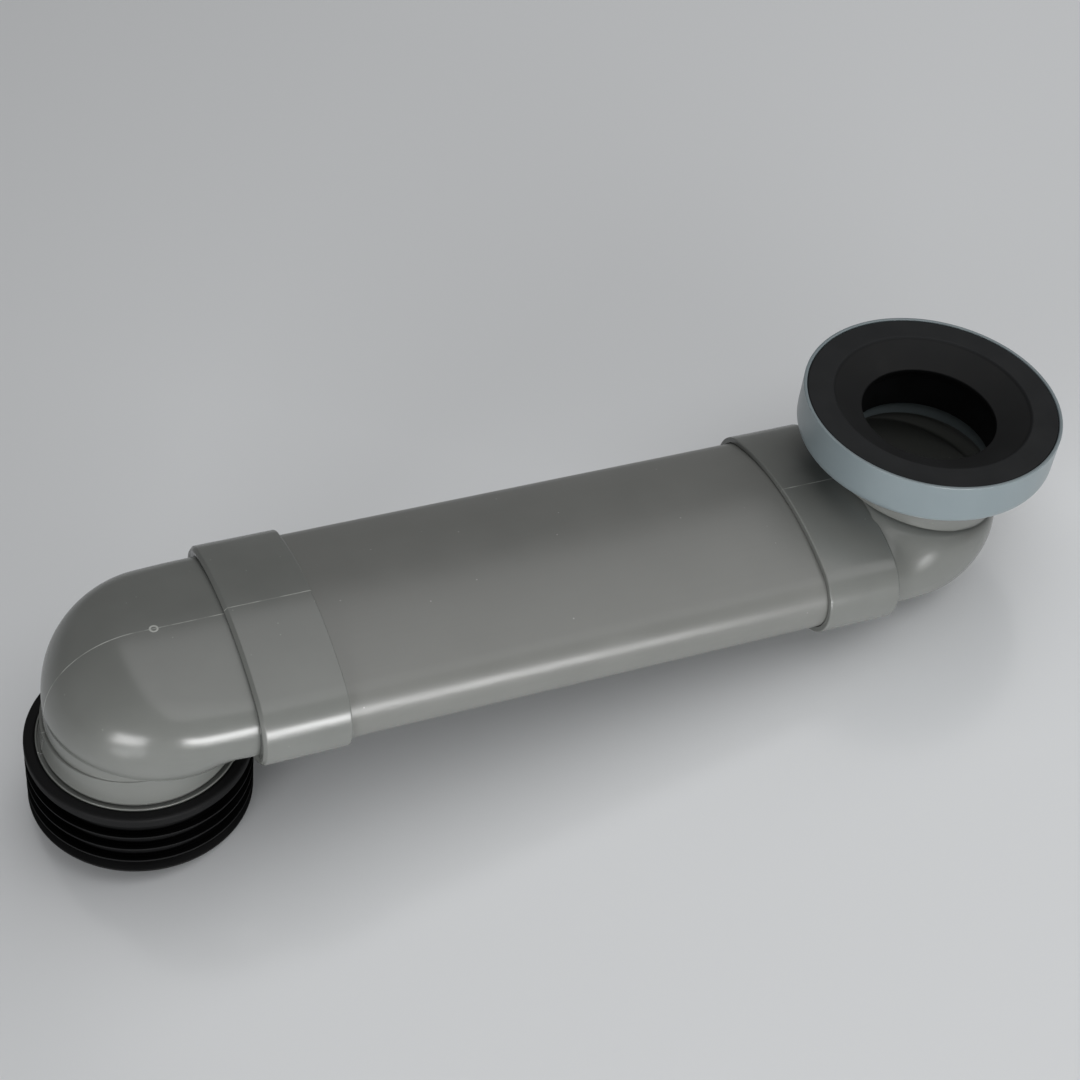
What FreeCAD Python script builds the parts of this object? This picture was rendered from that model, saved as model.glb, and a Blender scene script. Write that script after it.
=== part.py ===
# Flat offset connector between a toilet outlet and a floor drain.
#
# Frame: millimetres, Z up. The origin is on the axis of the outlet, level with its lower end.
# X runs along the flat pipe from the outlet to the inlet, and Y across it.

import FreeCAD, Part
import math
import os

V = FreeCAD.Vector
X = V(1, 0, 0)
Y = V(0, 1, 0)
Z = V(0, 0, 1)
os.makedirs("parts", exist_ok=True)


# Layout
axis_offset = 420.0  # from the outlet axis to the inlet axis
root_level = 48.4  # where the outlet's neck meets the body, at the inner corner

# Flat pipe, an oval of four tangent arcs
pipe_width = 125.5
pipe_height = 56.0
pipe_wall = 3.0
end_arc_angle = 68.0  # half of what each end arc of an oval covers

# Sockets that take the flat pipe
socket_gap = 0.3
socket_wall = 3.0
mouth_round = 0.8
outlet_mouth = 85.6  # from the outlet axis to the socket's mouth
outlet_socket = 43.0  # length outside
inlet_mouth = 79.8
inlet_socket = 41.2
stop_thickness = 3.0  # between the socket's shoulder and its seat for the pipe
shoulder_slope = 1.6
end_gap = 0.3

# Elbow bodies, as high as the flat pipe
body_narrowing = 5.9  # of the body's width against the pipe's
body_wall = 3.2
crown_drop = 44.4  # height in which the flat top turns down to the round outer end
end_setback = 1.6  # of the outer end inside the neck's skin
throat_round = 5.0  # inner corner between the body and the neck
edge_rise = 5.0  # of the bend's end, from the inner corner to the outer end
brow_angle = 7.6  # degrees from the section where the body is as narrow as the neck to the bend's end
root_step = 0.3  # from the neck's outer skin in, and from its bore out, to the skins of the bend
width_power = 4  # how late in the bend the width narrows to the neck
outer_steps = 18  # straight strips of the bend outside and inside
inner_steps = 12

# Round neck
neck_radius = 46.8
neck_wall = 3.2
neck_end_round = 0.8
shelf_rise = 5.6  # of the neck's top at the outer end, above the root
shelf_slope = 5.0  # degrees by which the neck's top rises towards the pipe
neck_flare = 0.8  # swelling above the collar of the outlet
flare_height = 1.4
collar_width = 2.9  # beyond the neck
collar_level = 40.4  # top of the collar
collar_height = 2.4
collar_lip = 0.9  # width of the thin lip round the collar
collar_channel = 1.2  # depth of the channel behind the lip
collar_round = 0.4
rim_height = 35.6  # of the inlet's round mouth above the flat pipe's middle
rim_round = 1.0

# Finned seal round the outlet's neck
seal_gap = 0.2
seal_wall = 3.2
fin_length = 5.3
seal_lip = 3.0  # inward lip under the end of the neck
seal_shoulder = 4.4  # height of the top band
seal_top_drop = 0.6  # of the seal's top below the collar's top
fin_pitch = 8.8
fin_count = 3
fin_root = 2.6
fin_tip = 1.0
fin_rise = 3.2

# Cup glued into the inlet elbow
plug_gap = 0.3
plug_clearance = 2.0  # from the plug's end down to the top of the flat pipe
plug_wall = 3.0
cup_neck_step = 1.8  # of the cup's neck inside the elbow's
cup_neck_height = 14.0  # from the elbow's mouth to the cup's underside
cup_radius = 67.5
cup_wall = 1.8
cup_height = 24.5  # from the underside to the rim
cup_floor = 3.0
cup_shoulder = 5.5
cup_rim_round = 0.7
cup_neck_fillet = 4.0
corner_steps = 3  # straight strips of a rounded corner

# Gasket in the cup
gasket_gap = 0.2
gasket_sink = 0.4  # of the top below the cup's rim
gasket_lip = 2.5  # how far the hole's edge stands in from the skirt
gasket_hole_drop = 9.2  # of the hole's edge below the flat ring
gasket_ring = 14.6  # width of the flat ring
gasket_step_drop = 1.2
gasket_web = 3.0
gasket_edge_round = 0.8
skirt_gap = 0.3
skirt_wall = 2.2
skirt_length = 34.6  # from the flat ring down to its end


# Sizes that follow from the ones above

pipe_level = root_level + throat_round + pipe_height / 2  # middle of the flat pipe
body_width = pipe_width - body_narrowing
collar_radius = neck_radius + collar_width
seal_radius = neck_radius + seal_gap + seal_wall + fin_length
inlet_mouth_level = pipe_level + rim_height
cup_underside = inlet_mouth_level + cup_neck_height
cup_top = cup_underside + cup_height
plug_radius = neck_radius - neck_wall - plug_gap


# Ovals

def oval_end_radius(half_width, half_height):
    """Radius of the end arcs that meet the flank arcs at the fixed tangent angle."""
    angle = math.radians(end_arc_angle)
    share = (1.0 - math.sin(angle)) / math.cos(angle)
    return (half_height - share * half_width) / (1.0 - share)


def oval_wire(half_width, half_height, centre, up):
    """Closed oval of four tangent arcs, as wide along Y and as high along the vector up."""
    angle = math.radians(end_arc_angle)
    radius = oval_end_radius(half_width, half_height)
    touch_across = half_width - radius + radius * math.cos(angle)
    touch_up = radius * math.sin(angle)

    def place(across, along):
        return centre + Y * across + up * along

    corners = [
        place(touch_across, -touch_up),
        place(touch_across, touch_up),
        place(-touch_across, touch_up),
        place(-touch_across, -touch_up),
    ]
    middles = [place(half_width, 0), place(0, half_height), place(-half_width, 0), place(0, -half_height)]
    edges = []
    for index in range(4):
        arc = Part.Arc(corners[index], middles[index], corners[(index + 1) % 4])
        edges.append(arc.toShape())
    return Part.Wire(edges)


def oval_bar(half_width, half_height, start, end):
    """Solid oval bar along X on the flat pipe's axis."""
    wire = oval_wire(half_width, half_height, V(start, 0, pipe_level), Z)
    return Part.Face(wire).extrude(X * (end - start))


# Flat pipe

def make_pipe():
    start = outlet_mouth - outlet_socket + stop_thickness + end_gap
    end = axis_offset - inlet_mouth + inlet_socket - stop_thickness - end_gap
    outside = oval_bar(pipe_width / 2, pipe_height / 2, start, end)
    bore = oval_bar(pipe_width / 2 - pipe_wall, pipe_height / 2 - pipe_wall, start, end)
    return outside.cut(bore)


# Elbows, drawn with the round neck pointing down as at the outlet

def sweep_reach(angle, pivot, inset):
    """Distance from the pivot to the outer profile, a flat top and a quarter ellipse."""
    along = V(-math.sin(angle), 0, math.cos(angle))
    top = pipe_level + pipe_height / 2 - inset
    turn_level = pipe_level + pipe_height / 2 - crown_drop
    rise = top - turn_level
    reach = neck_radius - end_setback - inset
    if along.z > 0:
        flat = (top - pivot.z) / along.z
        if pivot.x + along.x * flat >= 0:
            return flat
    side = (pivot.x + reach) / -along.x
    if pivot.z + along.z * side <= turn_level:
        return side
    offset_z = pivot.z - turn_level
    a = (along.x / reach) ** 2 + (along.z / rise) ** 2
    b = 2 * (pivot.x * along.x / reach**2 + offset_z * along.z / rise**2)
    c = (pivot.x / reach) ** 2 + (offset_z / rise) ** 2 - 1
    return (-b + math.sqrt(b * b - 4 * a * c)) / (2 * a)


def root_plane():
    """Pivot of the bend and the angle of its last section, where it ends in the round neck."""
    pivot = V(neck_radius + throat_round, 0, root_level)
    last = math.pi / 2 - math.atan(edge_rise / (2 * neck_radius))
    return pivot, last


def elbow_sweep(inset, root_inset, steps):
    """Bend from the flat body to the round neck, with its skin moved in by inset.

    Oval sections turn about a pivot at the inner corner. The outer edge follows the profile
    above. The width falls late and steeply to that of the neck, less root_inset, and stays
    there for the last few degrees, down to the plane where the neck takes over.
    """
    pivot, last = root_plane()
    root = neck_radius - root_inset
    brow = last - math.radians(brow_angle)
    wires = []
    for step in range(steps + 2):
        angle = last if step > steps else brow * step / steps
        along = V(-math.sin(angle), 0, math.cos(angle))
        near = throat_round + root_inset * angle / last + inset
        far = sweep_reach(angle, pivot, inset)
        fullness = 0.0 if step > steps else math.sqrt(1.0 - (step / steps) ** width_power)
        half_width = root + (body_width / 2 - root) * fullness - inset
        middle = pivot + along * ((near + far) / 2)
        wires.append(oval_wire(half_width, (far - near) / 2, middle, along))
    return Part.makeLoft(wires, True, True)


def turned(points):
    """Solid of revolution about Z from a closed outline of radius and height pairs."""
    corners = [V(radius, 0, level) for radius, level in points]
    outline = Part.makePolygon(corners + corners[:1])
    return Part.Face(outline).revolve(V(0, 0, 0), Z, 360)


def cut_above(solid, point, slope):
    """The part of a solid below a plane through the point that falls by slope degrees towards +X."""
    size = 4 * body_width
    block = Part.makeBox(size, size, size, V(-size / 2, -size / 2, 0))
    block.Placement = FreeCAD.Placement(point, FreeCAD.Rotation(Y, slope))
    return solid.cut(block)


def make_elbow(mouth, socket_length, neck_outline):
    """Socket, flat body and round neck as one moulding, open at both ends."""
    shoulder = mouth - socket_length
    seat = shoulder + stop_thickness
    pivot, last = root_plane()
    half_width = pipe_width / 2 + socket_gap
    half_height = pipe_height / 2 + socket_gap
    sleeve = oval_bar(half_width + socket_wall, half_height + socket_wall, shoulder, mouth)
    rim = [edge for edge in sleeve.Edges if edge.BoundBox.XMin > mouth - 0.01]
    sleeve = sleeve.makeFillet(mouth_round, rim)
    rear = [edge for edge in sleeve.Edges if edge.BoundBox.XMax < shoulder + 0.01]
    sleeve = sleeve.makeChamfer(shoulder_slope, rear)
    neck = turned(neck_outline + [(0, pipe_level), (0, neck_outline[0][1])])
    neck = cut_above(neck, V(-neck_radius, 0, root_level + shelf_rise), -shelf_slope)
    shell = sleeve.fuse(oval_bar(body_width / 2, pipe_height / 2, pivot.x, mouth - mouth_round))
    shell = shell.fuse(elbow_sweep(0.0, root_step, outer_steps)).fuse(neck)
    shell = shell.cut(oval_bar(half_width, half_height, seat, mouth))
    shell = shell.cut(oval_bar(body_width / 2 - body_wall, pipe_height / 2 - body_wall, pivot.x, mouth))
    shell = shell.cut(elbow_sweep(body_wall, -root_step, inner_steps))
    bore_end = neck_outline[0][1]
    bore = Part.makeCylinder(neck_radius - neck_wall, pipe_level - bore_end, V(0, 0, bore_end))
    return shell.cut(cut_above(bore, pivot, 90.0 - math.degrees(last))).Solids[0]


def outlet_neck_outline():
    """Plain end for the seal, a collar with a thin lip and a channel, and a slight swelling above."""
    r = neck_radius
    foot = collar_level - collar_height
    lip = collar_radius - collar_lip
    return [
        (r - neck_end_round, seal_lip),
        (r, seal_lip + neck_end_round),
        (r, foot),
        (collar_radius, foot),
        (collar_radius, collar_level - collar_round),
        (collar_radius - collar_round, collar_level),
        (lip, collar_level),
        (lip, collar_level - collar_channel),
        (r, collar_level - collar_channel),
        (r, collar_level),
        (r + neck_flare, collar_level + flare_height),
        (r, root_level),
        (r, pipe_level),
    ]


def inlet_neck_outline():
    """Short round mouth, drawn pointing down like the outlet's."""
    r = neck_radius
    end = 2 * pipe_level - inlet_mouth_level
    return [(r - rim_round, end), (r, end + rim_round), (r, pipe_level)]


# Seal on the outlet's neck

def make_seal():
    """Rubber sleeve with a flange below, fins that rise outwards and a rounded band on top."""
    inner = neck_radius + seal_gap
    outer = inner + seal_wall
    top = collar_level - collar_height
    crest = collar_level - seal_top_drop
    bore = neck_radius - neck_wall
    points = [
        (bore, 0),
        (seal_radius, 0),
        (seal_radius, fin_tip),
        (outer, fin_root),
    ]
    for index in range(fin_count):
        tip = fin_pitch * (index + 1)
        root = tip - fin_rise - fin_root
        points += [(outer, root), (seal_radius, tip - fin_tip), (seal_radius, tip), (outer, root + fin_root)]
    band = fin_pitch * (fin_count + 1)
    points += [
        (outer, band - fin_rise),
        (seal_radius, band - fin_tip),
        (seal_radius, crest - seal_shoulder / 2),
        (seal_radius - seal_shoulder / 4, crest - seal_shoulder / 8),
        (collar_radius + seal_gap + seal_wall / 2, crest),
        (collar_radius + seal_gap, crest - seal_top_drop),
        (collar_radius + seal_gap, top),
        (inner, top),
        (inner, seal_lip),
        (bore, seal_lip),
    ]
    return turned(points)


# Cup glued into the inlet elbow

def corner(radius, level, size, start):
    """Points of a rounded corner of the outline, a quarter turn anticlockwise from start degrees."""
    turns = [math.radians(start + 90.0 * step / corner_steps) for step in range(corner_steps + 1)]
    return [(radius + size * math.cos(turn), level + size * math.sin(turn)) for turn in turns]


def make_cup():
    """Shallow cup with a rounded shoulder, over a neck whose end plugs into the elbow."""
    plug = plug_radius
    underside = cup_underside
    cup_neck_radius = neck_radius - cup_neck_step
    bore = plug - plug_wall
    plug_end = pipe_level + pipe_height / 2 + plug_clearance
    shoulder = corner(cup_radius - cup_shoulder, underside + cup_shoulder, cup_shoulder, -90)
    throat = corner(cup_neck_radius + cup_neck_fillet, underside - cup_neck_fillet, cup_neck_fillet, 90)
    body = turned([
        (bore, plug_end),
        (plug, plug_end),
        (plug, inlet_mouth_level),
        (cup_neck_radius, inlet_mouth_level),
        *reversed(throat),
        *shoulder,
        (cup_radius, cup_top - cup_rim_round),
        (cup_radius - cup_rim_round, cup_top),
        (cup_radius - cup_wall + cup_rim_round, cup_top),
        (cup_radius - cup_wall, cup_top - cup_rim_round),
        (cup_radius - cup_wall, underside + cup_floor),
        (bore, underside + cup_floor),
    ])
    body.translate(X * axis_offset)
    return body


# Gasket in the cup

def make_gasket():
    """Rubber ring with a funnel down to the hole and a skirt inside the cup's neck."""
    outer = cup_radius - cup_wall - gasket_gap
    top = cup_top - gasket_sink
    floor = cup_underside + cup_floor
    web = gasket_web
    skirt_outer = plug_radius - plug_wall - skirt_gap
    skirt_radius = skirt_outer - skirt_wall
    skirt_level = top - skirt_length
    gasket_hole = skirt_radius - gasket_lip
    gasket_step = outer - gasket_ring
    hole_level = top - gasket_hole_drop
    gasket = turned([
        (outer, floor),
        (outer, top - gasket_edge_round),
        (outer - gasket_edge_round, top),
        (gasket_step + gasket_step_drop, top),
        (gasket_step, top - gasket_step_drop),
        (gasket_hole, hole_level),
        (gasket_hole, hole_level - web / 2),
        (skirt_radius, hole_level - 2 * web),
        (skirt_radius, skirt_level),
        (skirt_outer, skirt_level),
        (skirt_outer, hole_level - web),
        (gasket_step, top - gasket_step_drop - web),
        (outer - web, top - web),
        (outer - web, floor),
    ])
    gasket.translate(X * axis_offset)
    return gasket


pipe = make_pipe()
outlet_elbow = make_elbow(outlet_mouth, outlet_socket, outlet_neck_outline())
outlet_seal = make_seal()
inlet_elbow = make_elbow(inlet_mouth, inlet_socket, inlet_neck_outline())
inlet_elbow.rotate(V(axis_offset / 2, 0, pipe_level), Y, 180)
inlet_cup = make_cup()
inlet_gasket = make_gasket()

pipe.exportStep("parts/flat_pipe.step")
outlet_elbow.exportStep("parts/outlet_elbow.step")
outlet_seal.exportStep("parts/outlet_seal.step")
inlet_elbow.exportStep("parts/inlet_elbow.step")
inlet_cup.exportStep("parts/inlet_cup.step")
inlet_gasket.exportStep("parts/inlet_gasket.step")
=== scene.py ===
import bpy
import math
import numpy as np
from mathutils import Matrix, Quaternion, Vector


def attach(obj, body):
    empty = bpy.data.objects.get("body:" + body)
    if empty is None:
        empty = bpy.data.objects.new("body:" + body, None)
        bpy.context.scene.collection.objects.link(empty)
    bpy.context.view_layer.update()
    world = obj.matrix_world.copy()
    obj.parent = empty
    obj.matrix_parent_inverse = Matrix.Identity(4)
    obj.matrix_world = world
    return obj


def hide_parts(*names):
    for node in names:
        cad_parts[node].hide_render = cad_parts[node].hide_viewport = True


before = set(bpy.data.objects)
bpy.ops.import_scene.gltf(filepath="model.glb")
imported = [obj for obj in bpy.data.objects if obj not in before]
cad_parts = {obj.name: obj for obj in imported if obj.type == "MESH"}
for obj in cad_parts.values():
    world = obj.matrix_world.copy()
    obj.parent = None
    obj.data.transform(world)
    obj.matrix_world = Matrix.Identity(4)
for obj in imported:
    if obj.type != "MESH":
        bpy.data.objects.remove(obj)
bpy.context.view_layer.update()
print("frame loaded:", sorted(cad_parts))

mm = 0.001

# the layout repeats the frame's: outlet axis at the origin, inlet axis along +X
layout = {"axisOffset": 420.0, "pipeLevel": 81.4}


# helpers: colour, nodes, meshes

def srgb(code):
    # "#rrggbb" as linear red, green, blue and a full alpha
    parts = [int(code[i:i + 2], 16) / 255 for i in (1, 3, 5)]
    return [p / 12.92 if p <= 0.04045 else ((p + 0.055) / 1.055) ** 2.4 for p in parts] + [1.0]


def addNode(tree, kind, settings=None, inputs=None):
    # one node, its properties, and its inputs as values or as sockets to link
    node = tree.nodes.new(kind)
    for key, value in (settings or {}).items():
        setattr(node, key, value)
    for key, value in (inputs or {}).items():
        if isinstance(value, bpy.types.NodeSocket):
            tree.links.new(value, node.inputs[key])
        else:
            node.inputs[key].default_value = value
    return node


def closedGrid(points):
    # points[m, n, 3] wraps round both ways; the faces are turned outwards by the sign of the volume
    m, n = points.shape[:2]
    index = np.arange(m * n).reshape(m, n)
    right = np.roll(index, -1, 1)
    above = np.roll(index, -1, 0)
    faces = np.stack([index, right, np.roll(right, -1, 0), above], -1).reshape(-1, 4)
    flat = points.reshape(-1, 3)
    a, b, c, d = (flat[faces[:, k]] for k in range(4))
    volume = (a * np.cross(b, c)).sum() + (a * np.cross(c, d)).sum()
    return flat, faces if volume > 0 else faces[:, ::-1]


def meshPiece(name, grids, material, node):
    # one object from several closed grids in millimetres, standing for its CAD node
    points, faces, start = [], [], 0
    for grid in grids:
        p, f = closedGrid(grid)
        points.append(p)
        faces.append(f + start)
        start += len(p)
    mesh = bpy.data.meshes.new(name)
    mesh.from_pydata((np.concatenate(points) * mm).tolist(), [], np.concatenate(faces).tolist())
    mesh.polygons.foreach_set("use_smooth", np.ones(len(mesh.polygons), dtype=bool))
    mesh.materials.append(material)
    mesh.update()
    piece = bpy.data.objects.new(name, mesh)
    bpy.context.scene.collection.objects.link(piece)
    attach(piece, "root")
    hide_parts(node)
    print("piece", name, len(mesh.vertices), "points")
    return piece


# outlines and surfaces

def eased(corners, steps=5, hold=0.06):
    # closed outline; each (a, b, size) corner becomes a parabola between its two tangent points,
    # with one more point just outside each, so that the flats beside it stay flat when shaded
    out = []
    count = len(corners)
    for i, (a, b, size) in enumerate(corners):
        here = np.array([a, b], float)
        if size == 0:
            out.append(here)
            continue
        before = np.array(corners[i - 1][:2], float) - here
        after = np.array(corners[(i + 1) % count][:2], float) - here
        before /= np.linalg.norm(before)
        after /= np.linalg.norm(after)
        out.append(here + before * (size + hold))
        for t in np.linspace(0, 1, steps + 1):
            out.append(here + before * size * (1 - t) ** 2 + after * size * t ** 2)
        out.append(here + after * (size + hold))
    return np.array(out)


def turnedGrid(outline, centreX, around=192):
    # the outline's (radius, level) pairs turned about the vertical axis at centreX
    angle = np.linspace(0, 2 * np.pi, around, endpoint=False)
    radius, level = outline[:, :1], outline[:, 1:]
    x = centreX + radius * np.cos(angle)
    y = radius * np.sin(angle)
    return np.stack([x, y, np.broadcast_to(level, x.shape)], -1)


oval = {"endArc": 68.0, "around": 240, "crowding": 0.34}


def ovalTurns():
    # directions of the normal round an oval, crowded where its arcs are flat
    even = np.linspace(0, 2 * np.pi, oval["around"], endpoint=False)
    return even + oval["crowding"] * np.sin(2 * even)


def ovalRing(halfWidth, halfHeight, turn):
    # four tangent arcs: end arcs reach endArc degrees either side, flank arcs take the rest,
    # and the point whose normal has the direction turn is returned as (across, up)
    edge = math.radians(oval["endArc"])
    share = (1 - math.sin(edge)) / math.cos(edge)
    small = (halfHeight - share * halfWidth) / (1 - share)
    large = (halfWidth - small) / math.cos(edge) + small
    onEnd = np.abs(np.cos(turn)) >= math.cos(edge)
    radius = np.where(onEnd, small, large)
    across = np.where(onEnd, np.sign(np.cos(turn)) * (halfWidth - small), 0) + radius * np.cos(turn)
    up = np.where(onEnd, 0, np.sign(np.sin(turn)) * (halfHeight - large)) + radius * np.sin(turn)
    return across, up


def ovalSleeve(outline, halfWidth, halfHeight):
    # the outline's (x, stand-off) pairs carried round the oval; stand-off is measured from its skin
    turn = ovalTurns()[None, :]
    x, off = outline[:, :1], outline[:, 1:]
    across, up = ovalRing(halfWidth + off, halfHeight + off, turn)
    return np.stack([np.broadcast_to(x, across.shape), across, layout["pipeLevel"] + up], -1)


# materials

# grain is the relief in millimetres, nicks the strength of the pale spots
pvcLooks = {
    # extruded: satin, with fine lines drawn along the pipe
    "pipe": {"colour": "#6f706d", "light": "#777875", "roughness": 0.34, "grain": 0.012,
             "streaks": True, "seam": False, "nicks": 0.55},
    # moulded in a polished tool: smoother and glossier, with a parting line and a gate
    "fitting": {"colour": "#6d6f6c", "light": "#777976", "roughness": 0.235, "grain": 0.006,
                "streaks": False, "seam": True, "nicks": 0.22},
    # moulded: grey with a blue tint that is a painted reflection of blue surroundings, and a little duller
    "cup": {"colour": "#768185", "light": "#808b8f", "roughness": 0.30, "grain": 0.006,
            "streaks": False, "seam": False, "nicks": 0.0},
}
pvcIor = 1.53
# sizes in millimetres: how far apart the marks of each pattern lie, how wide and how high they are
pvcPattern = {"cloud": 35.714, "grain": 1.1111, "line": 1.4286, "lineLength": 200.0, "lineRelief": 0.006,
              "nick": 11.111, "worn": 14.286, "seamCore": 0.10, "seamEdge": 0.40, "seamRelief": 0.10}
paleMark = {"nick": "#b4b5b1", "seam": "#bcbeb9", "seamStrength": 0.85}
gateMark = {"x": 8.8, "ring": 1.8, "core": 0.2, "line": 0.7}


def patternScale(size):
    # repeats in a metre for marks that lie so many millimetres apart
    return 1 / (size * mm)


def pvcMaterial(name, look):
    # rigid PVC; the patterns read Object coordinates, which are metres here
    material = bpy.data.materials.new(name)
    material.use_nodes = True
    tree = material.node_tree
    shader = tree.nodes["Principled BSDF"]
    shader.inputs["IOR"].default_value = pvcIor
    place = addNode(tree, "ShaderNodeTexCoord").outputs["Object"]

    cloud = addNode(tree, "ShaderNodeTexNoise", None, {
        "Vector": place, "Scale": patternScale(pvcPattern["cloud"]), "Detail": 4.0})
    tint = addNode(tree, "ShaderNodeMapRange", {"interpolation_type": "SMOOTHSTEP"}, {
        "Value": cloud.outputs["Fac"], "From Min": 0.2, "From Max": 0.8, "To Min": 0.0, "To Max": 0.5})
    blend = addNode(tree, "ShaderNodeMix", {"data_type": "RGBA"}, {
        "Factor": tint.outputs["Result"], "A": srgb(look["colour"]), "B": srgb(look["light"])})
    surface = blend.outputs["Result"]

    grain = addNode(tree, "ShaderNodeTexNoise", None, {
        "Vector": place, "Scale": patternScale(pvcPattern["grain"]), "Detail": 2.0})
    height = addNode(tree, "ShaderNodeMath", {"operation": "MULTIPLY"}, {
        0: grain.outputs["Fac"], 1: look["grain"] * mm})
    relief = height.outputs[0]

    if look["streaks"]:
        # lines drawn along the pipe by the extrusion die
        fine = patternScale(pvcPattern["line"])
        along = addNode(tree, "ShaderNodeMapping", None, {
            "Vector": place, "Scale": (patternScale(pvcPattern["lineLength"]), fine, fine)})
        lines = addNode(tree, "ShaderNodeTexNoise", None, {
            "Vector": along.outputs["Vector"], "Scale": 1.0, "Detail": 3.0})
        drawn = addNode(tree, "ShaderNodeMath", {"operation": "MULTIPLY_ADD"}, {
            0: lines.outputs["Fac"], 1: pvcPattern["lineRelief"] * mm, 2: relief})
        relief = drawn.outputs[0]
        shade = addNode(tree, "ShaderNodeMapRange", None, {
            "Value": lines.outputs["Fac"], "From Min": 0.3, "From Max": 0.7, "To Min": 0.0, "To Max": 0.12})
        surface = addNode(tree, "ShaderNodeMix", {"data_type": "RGBA"}, {
            "Factor": shade.outputs["Result"], "A": surface, "B": srgb(look["light"])}).outputs["Result"]

    if look["nicks"]:
        # pale nicks from handling: few cells have their middle in the surface, so nicks are centimetres apart
        spots = addNode(tree, "ShaderNodeTexVoronoi", None, {
            "Vector": place, "Scale": patternScale(pvcPattern["nick"])})
        nick = addNode(tree, "ShaderNodeMapRange", {"interpolation_type": "SMOOTHSTEP"}, {
            "Value": spots.outputs["Distance"], "From Min": 0.02, "From Max": 0.05,
            "To Min": look["nicks"], "To Max": 0.0})
        surface = addNode(tree, "ShaderNodeMix", {"data_type": "RGBA"}, {
            "Factor": nick.outputs["Result"], "A": surface, "B": srgb(paleMark["nick"])}).outputs["Result"]

    if look["seam"]:
        # the mould's parting line lies in the plane of symmetry, with the gate's ring on it
        axes = addNode(tree, "ShaderNodeSeparateXYZ", None, {"Vector": place})
        aside = addNode(tree, "ShaderNodeMath", {"operation": "ABSOLUTE"}, {0: axes.outputs["Y"]})
        seam = addNode(tree, "ShaderNodeMapRange", {"interpolation_type": "SMOOTHSTEP"}, {
            "Value": aside.outputs[0], "From Min": pvcPattern["seamCore"] * mm,
            "From Max": pvcPattern["seamEdge"] * mm, "To Min": 1.0, "To Max": 0.0})
        patch = addNode(tree, "ShaderNodeTexNoise", None, {
            "Vector": place, "Scale": patternScale(pvcPattern["worn"]), "Detail": 3.0})
        worn = addNode(tree, "ShaderNodeMapRange", None, {
            "Value": patch.outputs["Fac"], "From Min": 0.40, "From Max": 0.62, "To Min": 0.15, "To Max": 1.0})
        line = addNode(tree, "ShaderNodeMath", {"operation": "MULTIPLY"}, {
            0: seam.outputs["Result"], 1: worn.outputs["Result"]})
        fromGate = addNode(tree, "ShaderNodeMath", {"operation": "SUBTRACT"}, {
            0: axes.outputs["X"], 1: gateMark["x"] * mm})
        flat = addNode(tree, "ShaderNodeCombineXYZ", None, {"X": fromGate.outputs[0], "Y": aside.outputs[0]})
        away = addNode(tree, "ShaderNodeVectorMath", {"operation": "LENGTH"}, {
            "Vector": flat.outputs["Vector"]})
        offRing = addNode(tree, "ShaderNodeMath", {"operation": "SUBTRACT"}, {
            0: away.outputs["Value"], 1: gateMark["ring"] * mm})
        nearRing = addNode(tree, "ShaderNodeMath", {"operation": "ABSOLUTE"}, {0: offRing.outputs[0]})
        ring = addNode(tree, "ShaderNodeMapRange", {"interpolation_type": "SMOOTHSTEP"}, {
            "Value": nearRing.outputs[0], "From Min": gateMark["core"] * mm,
            "From Max": gateMark["line"] * mm, "To Min": 1.0, "To Max": 0.0})
        mark = addNode(tree, "ShaderNodeMath", {"operation": "MAXIMUM"}, {
            0: line.outputs[0], 1: ring.outputs["Result"]})
        raised = addNode(tree, "ShaderNodeMath", {"operation": "MULTIPLY_ADD"}, {
            0: mark.outputs[0], 1: pvcPattern["seamRelief"] * mm, 2: relief})
        relief = raised.outputs[0]
        pale = addNode(tree, "ShaderNodeMath", {"operation": "MULTIPLY"}, {
            0: mark.outputs[0], 1: paleMark["seamStrength"]})
        surface = addNode(tree, "ShaderNodeMix", {"data_type": "RGBA"}, {
            "Factor": pale.outputs[0], "A": surface, "B": srgb(paleMark["seam"])}).outputs["Result"]

    tree.links.new(surface, shader.inputs["Base Color"])
    rough = addNode(tree, "ShaderNodeMapRange", {"interpolation_type": "SMOOTHSTEP"}, {
        "Value": cloud.outputs["Fac"], "From Min": 0.2, "From Max": 0.8,
        "To Min": look["roughness"] - 0.03, "To Max": look["roughness"] + 0.04})
    tree.links.new(rough.outputs["Result"], shader.inputs["Roughness"])
    bump = addNode(tree, "ShaderNodeBump", None, {"Height": relief, "Strength": 1.0, "Distance": 1.0})
    tree.links.new(bump.outputs["Normal"], shader.inputs["Normal"])
    return material


# a gasket's flat ring starts at the radius ring and gets a painted sheen; the fine pits of the rubber swallow
# part of the gloss
rubberLooks = {
    "seal": {"colour": "#070708", "dustAndSheenColour": "#101112", "roughness": 0.62, "specular": 0.20, "ring": 0.0},
    "gasket": {"colour": "#060708", "dustAndSheenColour": "#17191b", "roughness": 0.66, "specular": 0.28, "ring": 50.9},
}
rubberIor = 1.52
# sizes in millimetres, as for the PVC, and last how strongly the painted sheen lightens a gasket's flat ring
rubberPattern = {"bloom": 22.222, "grain": 0.71429, "relief": 0.02, "ringEdge": 0.8, "sheenStrength": 0.8}


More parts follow.
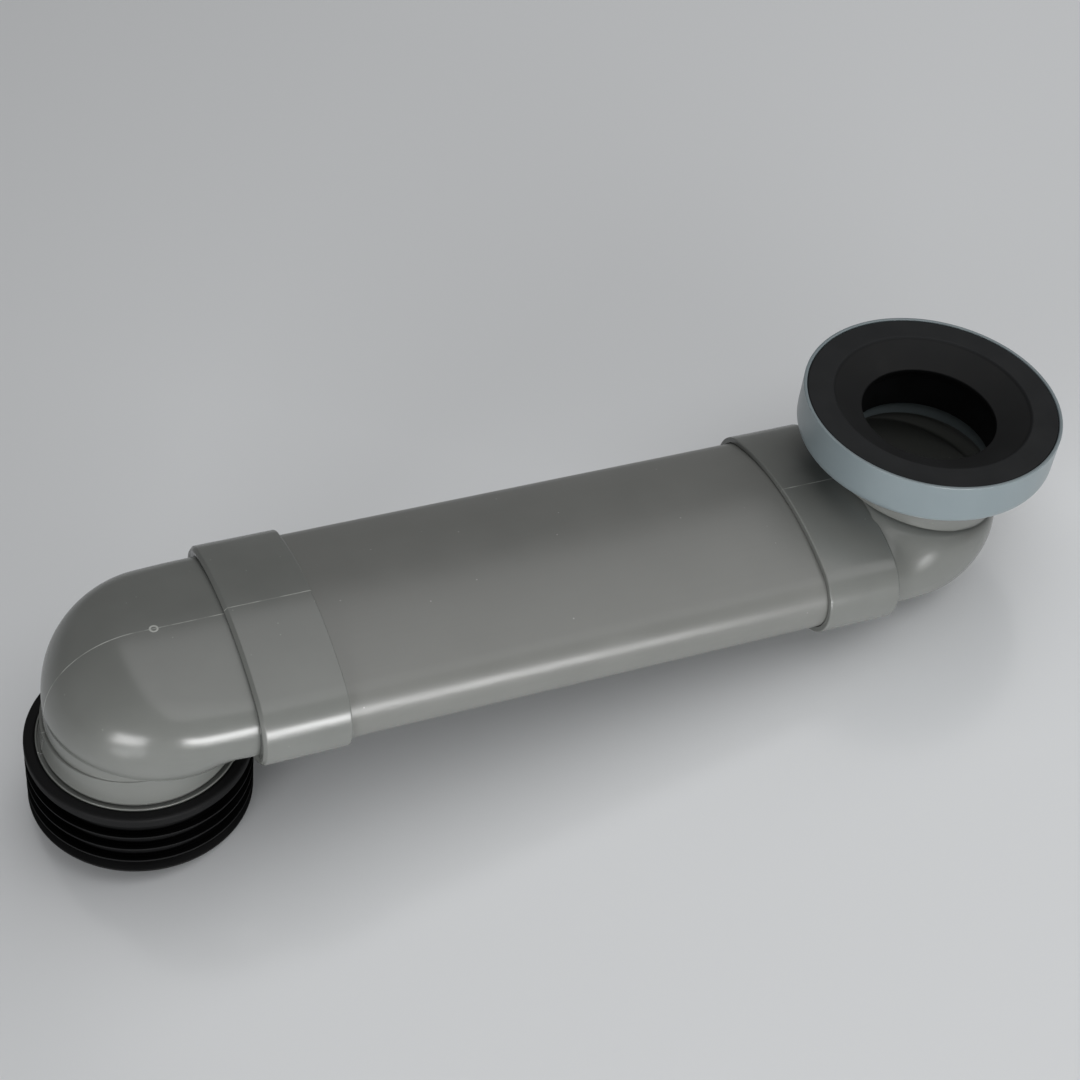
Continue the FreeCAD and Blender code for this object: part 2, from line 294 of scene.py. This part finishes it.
def rubberMaterial(name, look):
    # moulded black rubber: matt, nearly black, with a thin bloom of dust, and on a gasket a painted sheen on
    # its flat ring
    material = bpy.data.materials.new(name)
    material.use_nodes = True
    tree = material.node_tree
    shader = tree.nodes["Principled BSDF"]
    shader.inputs["IOR"].default_value = rubberIor
    shader.inputs["Specular IOR Level"].default_value = look["specular"]
    place = addNode(tree, "ShaderNodeTexCoord").outputs["Object"]
    bloom = addNode(tree, "ShaderNodeTexNoise", None, {
        "Vector": place, "Scale": patternScale(rubberPattern["bloom"]), "Detail": 6.0})
    film = addNode(tree, "ShaderNodeMapRange", None, {
        "Value": bloom.outputs["Fac"], "From Min": 0.42, "From Max": 0.8, "To Min": 0.0, "To Max": 0.6})
    dustAndSheen = film.outputs["Result"]
    if look["ring"]:
        # painted sheen: the flat ring outside the funnel, which faces the top light, is painted greyer than
        # the shaded funnel
        middle = addNode(tree, "ShaderNodeMapping", None, {
            "Vector": place, "Location": (-layout["axisOffset"] * mm, 0.0, 0.0), "Scale": (1.0, 1.0, 0.0)})
        reach = addNode(tree, "ShaderNodeVectorMath", {"operation": "LENGTH"}, {
            "Vector": middle.outputs["Vector"]})
        paintedSheen = addNode(tree, "ShaderNodeMapRange", None, {
            "Value": reach.outputs["Value"], "From Min": look["ring"] * mm,
            "From Max": (look["ring"] + rubberPattern["ringEdge"]) * mm,
            "To Min": 0.0, "To Max": rubberPattern["sheenStrength"]})
        dustAndSheen = addNode(tree, "ShaderNodeMath", {"operation": "MAXIMUM"}, {
            0: dustAndSheen, 1: paintedSheen.outputs["Result"]}).outputs[0]
    blend = addNode(tree, "ShaderNodeMix", {"data_type": "RGBA"}, {
        "Factor": dustAndSheen, "A": srgb(look["colour"]), "B": srgb(look["dustAndSheenColour"])})
    tree.links.new(blend.outputs["Result"], shader.inputs["Base Color"])
    rough = addNode(tree, "ShaderNodeMapRange", None, {
        "Value": bloom.outputs["Fac"], "From Min": 0.3, "From Max": 0.7,
        "To Min": look["roughness"] - 0.04, "To Max": look["roughness"] + 0.08})
    tree.links.new(rough.outputs["Result"], shader.inputs["Roughness"])
    grain = addNode(tree, "ShaderNodeTexNoise", None, {
        "Vector": place, "Scale": patternScale(rubberPattern["grain"]), "Detail": 2.0})
    height = addNode(tree, "ShaderNodeMath", {"operation": "MULTIPLY"}, {
        0: grain.outputs["Fac"], 1: rubberPattern["relief"] * mm})
    bump = addNode(tree, "ShaderNodeBump", None, {
        "Height": height.outputs[0], "Strength": 1.0, "Distance": 1.0})
    tree.links.new(bump.outputs["Normal"], shader.inputs["Normal"])
    return material


extrudedPvc = pvcMaterial("extrudedPvc", pvcLooks["pipe"])
mouldedPvc = pvcMaterial("mouldedPvc", pvcLooks["fitting"])
cupPvc = pvcMaterial("cupPvc", pvcLooks["cup"])
sealRubber = rubberMaterial("sealRubber", rubberLooks["seal"])
gasketRubber = rubberMaterial("gasketRubber", rubberLooks["gasket"])
print("materials done")


# flat pipe

flatPipe = {"halfWidth": 62.75, "halfHeight": 28.0, "wall": 3.0, "start": 45.9, "end": 378.1, "ease": 0.4}


def makeFlatPipe():
    e, s, w = flatPipe["end"], flatPipe["start"], flatPipe["wall"]
    outline = eased([(s, 0, flatPipe["ease"]), (e, 0, flatPipe["ease"]), (e, -w, 0.2), (s, -w, 0.2)])
    meshPiece("flatPipe", [ovalSleeve(outline, flatPipe["halfWidth"], flatPipe["halfHeight"])],
              extrudedPvc, "flat_pipe")


makeFlatPipe()


# elbows, worked out with the neck pointing down; the inlet's is the same moulding turned over

elbow = {
    "gap": 0.3, "sleeveWall": 3.0, "stop": 3.0, "mouthEase": 0.8, "shoulder": 1.6,
    "bodyHalfWidth": 59.8, "bodyHalfHeight": 28.0, "wall": 3.2,
    "rootLevel": 48.4, "throat": 5.0, "edgeRise": 5.0, "brow": 7.6, "crownDrop": 44.4, "endSetback": 1.6,
    "rootInset": 0.3, "widthPower": 4, "bendSteps": 90,
    "neckRadius": 46.8, "shelfRise": 5.6, "shelfSlope": 5.0, "buried": 44.6, "edgeHold": 0.15, "around": 240,
}


def bendRoot():
    # pivot of the bend (x, z) and the angle of its last section, where the round neck starts
    pivot = (elbow["neckRadius"] + elbow["throat"], elbow["rootLevel"])
    return pivot, math.pi / 2 - math.atan(elbow["edgeRise"] / (2 * elbow["neckRadius"]))


def bendReach(angle, inset):
    # how far the outer profile lies from the pivot: a flat top, then a quarter ellipse, then upright
    pivot = bendRoot()[0]
    ax, az = -np.sin(angle), np.cos(angle)
    top = layout["pipeLevel"] + elbow["bodyHalfHeight"] - inset
    turnLevel = layout["pipeLevel"] + elbow["bodyHalfHeight"] - elbow["crownDrop"]
    rise = top - turnLevel
    reach = elbow["neckRadius"] - elbow["endSetback"] - inset
    flat = (top - pivot[1]) / az
    side = (pivot[0] + reach) / np.maximum(-ax, 1e-9)
    a = (ax / reach) ** 2 + (az / rise) ** 2
    b = 2 * (pivot[0] * ax / reach ** 2 + (pivot[1] - turnLevel) * az / rise ** 2)
    c = (pivot[0] / reach) ** 2 + ((pivot[1] - turnLevel) / rise) ** 2 - 1
    curve = (-b + np.sqrt(np.maximum(b * b - 4 * a * c, 0))) / (2 * a)
    distance = np.where(pivot[0] + ax * flat >= 0, flat, curve)
    return np.where(pivot[1] + az * side <= turnLevel, side, distance)


def bendSkin(inset, rootInset, cutX):
    # oval sections turn about the pivot by an angle a; with s = a / brow the width is
    # root + (body - root) * sqrt(1 - s^4) down to the brow, and stays as wide to the root plane
    pivot, last = bendRoot()
    brow = last - math.radians(elbow["brow"])
    part = np.sin(np.linspace(0, np.pi / 2, elbow["bendSteps"] + 1))  # closer sections near the brow
    angle = np.append(brow * part, np.linspace(brow, last, 5)[1:])
    fullness = np.append(np.sqrt(np.maximum(1 - part ** elbow["widthPower"], 0)), np.zeros(4))
    near = elbow["throat"] + rootInset * angle / last + inset
    far = bendReach(angle, inset)
    root = elbow["neckRadius"] - rootInset
    halfWidth = root + (elbow["bodyHalfWidth"] - root) * fullness - inset
    across, up = ovalRing(halfWidth[:, None], ((far - near) / 2)[:, None], ovalTurns()[None, :])
    middle = (near + far)[:, None] / 2 + up
    x = pivot[0] - np.sin(angle)[:, None] * middle
    z = pivot[1] + np.cos(angle)[:, None] * middle
    return np.stack([np.minimum(x, cutX), across, z], -1)


def neckShell(outline):
    # the outline's (radius, level) pairs turned about the outlet axis; outside the neck ends on its
    # shelf or under the brow, inside on the root plane, and between the two it is hidden in the wall
    pivot, last = bendRoot()
    r, hidden = elbow["neckRadius"], elbow["buried"]
    top = [(radius, overTop) for radius in (r, r, hidden, hidden - 0.01, r - elbow["wall"])]
    outline = np.concatenate([outline, top])
    short = np.zeros((len(outline), 1))
    short[-len(top)] = elbow["edgeHold"]  # the first of these rings lies just under the end, for a crisp edge
    angle = np.linspace(0, 2 * np.pi, elbow["around"], endpoint=False)
    radius, level = outline[:, :1], outline[:, 1:]
    x, y = radius * np.cos(angle), radius * np.sin(angle)
    root = pivot[1] + (pivot[0] - x) / math.tan(last)
    brow = pivot[1] + (pivot[0] - x) / math.tan(last - math.radians(elbow["brow"]))
    shelf = pivot[1] + elbow["shelfRise"] + (x + r) * math.tan(math.radians(elbow["shelfSlope"]))
    ceiling = np.where(radius >= hidden, np.minimum(shelf, brow), root)
    return np.stack([x, y, np.minimum(level, ceiling - short)], -1)


def elbowGrids(mouth, length, neckOutline):
    rear = mouth - length
    seat = rear + elbow["stop"]
    g, outer = elbow["gap"], elbow["gap"] + elbow["sleeveWall"]
    s = elbow["shoulder"]
    sleeve = eased([
        (seat, g, 0), (mouth, g, elbow["mouthEase"] / 2), (mouth, outer, elbow["mouthEase"]),
        (rear + s, outer, 0.3), (rear, outer - s, 0.3), (rear, -3.0, 0), (seat, -3.0, 0)])
    step = elbow["rootInset"]
    skins = np.concatenate([bendSkin(0.0, step, seat), bendSkin(elbow["wall"], -step, seat)[::-1]])
    return [ovalSleeve(sleeve, flatPipe["halfWidth"], flatPipe["halfHeight"]), skins, neckShell(neckOutline)]


outletNeck = {"mouth": 85.6, "length": 43.0, "end": 3.0, "collarRadius": 49.7, "collarTop": 40.4,
              "collarHeight": 2.4, "lip": 0.9, "channel": 1.2, "flare": 0.8, "flareHeight": 1.4}
inletNeck = {"mouth": 79.8, "length": 41.2, "rim": 117.0, "rimEase": 1.0}
overTop = 90.0  # any level over the root plane, which cuts the neck off


def makeOutletElbow():
    n, r = outletNeck, elbow["neckRadius"]
    bore = r - elbow["wall"]
    top = n["collarTop"]
    foot, channel, lip = top - n["collarHeight"], top - n["channel"], n["collarRadius"] - n["lip"]
    outline = eased([
        (bore, n["end"], 0.3), (r, n["end"], 0.8), (r, foot, 0), (n["collarRadius"], foot, 0.2),
        (n["collarRadius"], top, 0.35), (lip, top, 0.2), (lip, channel, 0.2), (r, channel, 0.2),
        (r, top, 0.2), (r + n["flare"], top + n["flareHeight"], 0.4), (r, elbow["rootLevel"], 0)])
    meshPiece("outletElbow", elbowGrids(n["mouth"], n["length"], outline), mouldedPvc,
              "outlet_elbow")


def makeInletElbow():
    n, r = inletNeck, elbow["neckRadius"]
    bore = r - elbow["wall"]
    end = 2 * layout["pipeLevel"] - n["rim"]
    outline = eased([(bore, end, 0.3), (r, end, n["rimEase"]), (r, elbow["rootLevel"], 0)])
    grids = elbowGrids(n["mouth"], n["length"], outline)
    turnedOver = []
    for grid in grids:
        # half a turn about the crosswise line through the middle of the pipe
        turnedOver.append(np.stack([layout["axisOffset"] - grid[..., 0], grid[..., 1],
                                    2 * layout["pipeLevel"] - grid[..., 2]], -1))
    meshPiece("inletElbow", turnedOver, mouldedPvc, "inlet_elbow")


makeOutletElbow()
makeInletElbow()


# finned seal

seal = {"gap": 0.2, "wall": 3.2, "radius": 55.5, "lip": 3.0, "shoulder": 4.4, "drop": 0.6,
        "pitch": 8.8, "fins": 3, "root": 2.6, "tip": 1.0, "rise": 3.2}


def makeSeal():
    n, r = outletNeck, elbow["neckRadius"]
    inner, bore, rim = r + seal["gap"], r - elbow["wall"], seal["radius"]
    outer = inner + seal["wall"]
    crest = n["collarTop"] - seal["drop"]
    foot = n["collarTop"] - n["collarHeight"]
    hug = n["collarRadius"] + seal["gap"]
    points = [(bore, 0, 0.3), (rim, 0, 0.3), (rim, seal["tip"], 0.3), (outer, seal["root"], 0.4)]
    for i in range(seal["fins"]):
        tip = seal["pitch"] * (i + 1)
        root = tip - seal["rise"] - seal["root"]
        points += [(outer, root, 0.4), (rim, tip - seal["tip"], 0.3), (rim, tip, 0.3),
                   (outer, root + seal["root"], 0.4)]
    band = seal["pitch"] * (seal["fins"] + 1)
    points += [(outer, band - seal["rise"], 0.4), (rim, band - seal["tip"], 0.3),
               (rim, crest - seal["shoulder"] / 6, 1.6), (hug + seal["wall"] / 4, crest, 0.8),
               (hug, crest - seal["drop"], 0.1), (hug, foot, 0), (inner, foot, 0),
               (inner, seal["lip"], 0), (bore, seal["lip"], 0.2)]
    meshPiece("outletSeal", [turnedGrid(eased(points), 0.0)], sealRubber, "outlet_seal")


makeSeal()


# cup and gasket

cup = {"plugGap": 0.3, "plugWall": 3.0, "plugEnd": 111.4, "neckRadius": 45.0, "radius": 67.5, "wall": 1.8,
       "top": 155.5, "height": 24.5, "floor": 3.0, "shoulder": 5.5, "rimEase": 0.7, "neckEase": 4.0}
gasket = {"gap": 0.2, "sink": 0.4, "hole": 35.3, "holeDrop": 9.2, "step": 50.9, "stepDrop": 1.2,
          "web": 3.0, "edgeEase": 0.8, "skirt": 37.8, "skirtWall": 2.2, "skirtEnd": 120.5}


def makeCup():
    plug = elbow["neckRadius"] - elbow["wall"] - cup["plugGap"]
    bore = plug - cup["plugWall"]
    under = cup["top"] - cup["height"]
    inside = cup["radius"] - cup["wall"]
    outline = eased([
        (bore, cup["plugEnd"], 0.4), (plug, cup["plugEnd"], 0.4), (plug, inletNeck["rim"], 0),
        (cup["neckRadius"], inletNeck["rim"], 0.2), (cup["neckRadius"], under, cup["neckEase"]),
        (cup["radius"], under, cup["shoulder"]), (cup["radius"], cup["top"], cup["rimEase"]),
        (inside, cup["top"], cup["rimEase"]), (inside, under + cup["floor"], 0),
        (bore, under + cup["floor"], 0.4)], steps=8)
    meshPiece("inletCup", [turnedGrid(outline, layout["axisOffset"], 240)], cupPvc, "inlet_cup")


def makeGasket():
    g = gasket
    outer = cup["radius"] - cup["wall"] - g["gap"]
    top = cup["top"] - g["sink"]
    floorLevel = cup["top"] - cup["height"] + cup["floor"]
    hole = top - g["holeDrop"]
    web = g["web"]
    skirtOut = g["skirt"] + g["skirtWall"]
    outline = eased([
        (outer, floorLevel, 0), (outer, top, g["edgeEase"]), (g["step"] + g["stepDrop"], top, 0.5),
        (g["step"], top - g["stepDrop"], 0.5), (g["hole"], hole, 0.5), (g["hole"], hole - web / 2, 0.3),
        (g["skirt"], hole - 2 * web, 0.5), (g["skirt"], g["skirtEnd"], 0.3), (skirtOut, g["skirtEnd"], 0.3),
        (skirtOut, hole - web, 0), (g["step"], top - g["stepDrop"] - web, 0), (outer - web, top - web, 0),
        (outer - web, floorLevel, 0)])
    meshPiece("inletGasket", [turnedGrid(outline, layout["axisOffset"], 240)], gasketRubber,
              "inlet_gasket")


makeCup()
makeGasket()


# floor: it leans so that the seal's lower edge and the inlet elbow's underside both rest on it

floorLook = {"colour": "#e2e4e6", "size": 12.0, "roughness": 0.18, "inletFrom": 0.3}


def makeFloor():
    points = []
    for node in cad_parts.values():
        co = np.empty(len(node.data.vertices) * 3)
        node.data.vertices.foreach_get("co", co)
        points.append(co.reshape(-1, 3))
    points = np.concatenate(points)
    heel = seal["radius"] * mm  # the seal's lower edge, about which the floor leans
    ahead = points[points[:, 0] > floorLook["inletFrom"]]
    slope = (ahead[:, 2] / (ahead[:, 0] - heel)).min()
    lean = math.atan(slope)
    mesh = bpy.data.meshes.new("floor")
    s = floorLook["size"]
    along = np.array([math.cos(lean), 0, math.sin(lean)])
    across = np.array([0, 1.0, 0])
    corners = [np.array([heel, 0, 0]) + along * a * s + across * b * s
               for a, b in ((-1, -1), (1, -1), (1, 1), (-1, 1))]
    mesh.from_pydata([c.tolist() for c in corners], [], [(0, 1, 2, 3)])
    material = bpy.data.materials.new("palePaper")
    material.use_nodes = True
    shader = material.node_tree.nodes["Principled BSDF"]
    shader.inputs["Base Color"].default_value = srgb(floorLook["colour"])
    shader.inputs["Roughness"].default_value = floorLook["roughness"]
    mesh.materials.append(material)
    floor = bpy.data.objects.new("floor", mesh)
    bpy.context.scene.collection.objects.link(floor)
    print("floor leans %.2f degrees" % math.degrees(lean))


makeFloor()


# lights

# metres and watts: a large soft top light, and two low boxes whose reflections run along the flanks
softLights = {
    "overhead": {"place": (1.1, 0.0, 1.9), "aim": (1.1, 0.0, 0.0), "size": (3.0, 2.8), "power": 31.0},
    "frontBox": {"place": (0.34, -1.5, 0.11), "aim": (0.3, 0.0, 0.09), "size": (1.02, 0.38), "power": 23.0},
    "sideBox": {"place": (-1.15, -1.0, 0.15), "aim": (0.0, 0.0, 0.09), "size": (0.72, 0.42), "power": 9.6},
}
worldStrength = 0.15


def makeLights():
    for name, look in softLights.items():
        data = bpy.data.lights.new(name, "AREA")
        data.shape = "RECTANGLE"
        data.size, data.size_y = look["size"]
        data.energy = look["power"]
        lamp = bpy.data.objects.new(name, data)
        lamp.visible_camera = False  # it only lights and reflects
        lamp.location = look["place"]
        aim = Vector(look["aim"]) - Vector(look["place"])
        lamp.rotation_euler = aim.to_track_quat("-Z", "Y").to_euler()
        bpy.context.scene.collection.objects.link(lamp)
    world = bpy.data.worlds.new("studio")
    world.use_nodes = True
    sky = world.node_tree.nodes["Background"]
    sky.inputs["Color"].default_value = (1.0, 1.0, 1.0, 1.0)
    sky.inputs["Strength"].default_value = worldStrength
    bpy.context.scene.world = world
    print("lights done")


makeLights()


# camera, fitted to the photograph

camera = {"place": (-0.15568, -0.67960, 0.85370), "aim": (0.21970, 0.02943, 0.08140), "roll": 8.100,
          "lens": 71.764}


def makeCamera():
    data = bpy.data.cameras.new("camera")
    data.lens = camera["lens"]
    data.sensor_width = 36.0
    data.sensor_fit = "HORIZONTAL"
    data.clip_end = 50.0
    item = bpy.data.objects.new("camera", data)
    item.location = camera["place"]
    look = (Vector(camera["aim"]) - Vector(camera["place"])).to_track_quat("-Z", "Y")
    item.rotation_euler = (look @ Quaternion((0, 0, 1), math.radians(camera["roll"]))).to_euler()
    bpy.context.scene.collection.objects.link(item)
    bpy.context.scene.camera = item
    print("camera done")


makeCamera()
bpy.context.scene.view_settings.view_transform = "Standard"
